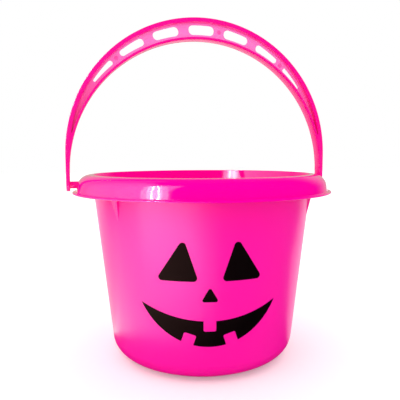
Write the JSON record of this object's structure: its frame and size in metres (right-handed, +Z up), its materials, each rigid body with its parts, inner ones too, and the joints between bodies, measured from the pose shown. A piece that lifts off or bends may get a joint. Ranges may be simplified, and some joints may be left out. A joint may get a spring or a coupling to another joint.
{
  "type": "candy pail",
  "caption": "Round candy pail with a rolled rim, a jack-o'-lantern face on its wall and a slotted carrying handle that swings.",
  "frame": {"origin": "middle of the foot ring, on the floor", "axes": "+Z up; the handle's pins lie along X; the side with the face looks along -Y; the handle stands upright at rest"},
  "size_m": [0.208, 0.2, 0.2601],
  "materials": {
    "pail_plastic": "translucent hot pink polypropylene, moulded glossy",
    "handle_plastic": "translucent hot pink polypropylene, moulded glossy",
    "face_film": "satin black film"
  },
  "bodies": {
    "pail": {"pail_floor": "pail_plastic", "pail_wall": "pail_plastic", "pail_rim": "pail_plastic", "left_eye_decal": "face_film", "right_eye_decal": "face_film", "nose_decal": "face_film", "mouth_decal": "face_film"},
    "handle": {"handle": "handle_plastic"}
  },
  "joints": [
    {"name": "handle_swing", "type": "hinge", "parent": "pail", "child": "handle", "pos_m": [0, 0, 0.1336], "axis": [1, 0, 0], "range_deg": [-133, 133]}
  ]
}
